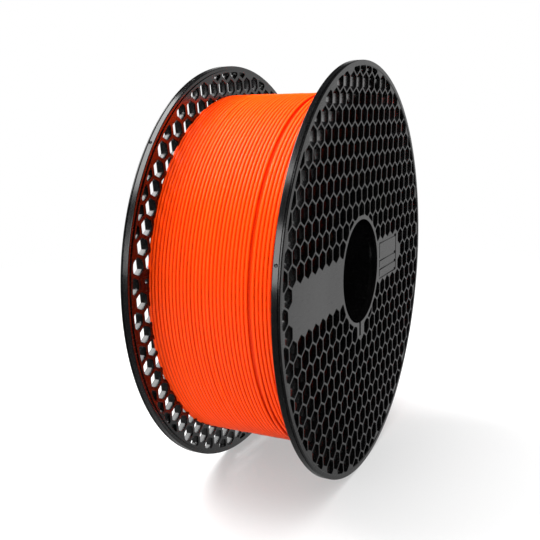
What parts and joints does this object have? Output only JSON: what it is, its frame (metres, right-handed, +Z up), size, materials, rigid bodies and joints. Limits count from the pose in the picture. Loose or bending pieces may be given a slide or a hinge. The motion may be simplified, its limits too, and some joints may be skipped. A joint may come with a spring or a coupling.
{
  "type": "filament spool",
  "caption": "Full spool of orange printing filament: two honeycomb side frames twist-locked through a card core, with a wide bore for a spool holder.",
  "frame": {"origin": "centre of the spool: on the bore's axis, midway between the two side frames", "axes": "+Y along the spool's axis, out of the side with the recessed panel; +Z up with the plain plates level; the long plain plate points to +X on the +Y side"},
  "size_m": [0.2, 0.0724, 0.2],
  "materials": {
    "frame_plastic": "semi-gloss black moulded polycarbonate",
    "core_card": "raw wound card tube, pressed paper",
    "filament": "glossy extruded orange PLA"
  },
  "bodies": {
    "spool": {"right_side_frame": "frame_plastic", "core_tube": "core_card", "filament_winding": "filament"},
    "left_side": {"left_side_frame": "frame_plastic"}
  },
  "joints": [
    {"name": "twist_lock", "type": "hinge", "parent": "spool", "child": "left_side", "pos_m": [0, 0, 0], "axis": [0, 1, 0], "range_deg": [0, 30]}
  ]
}
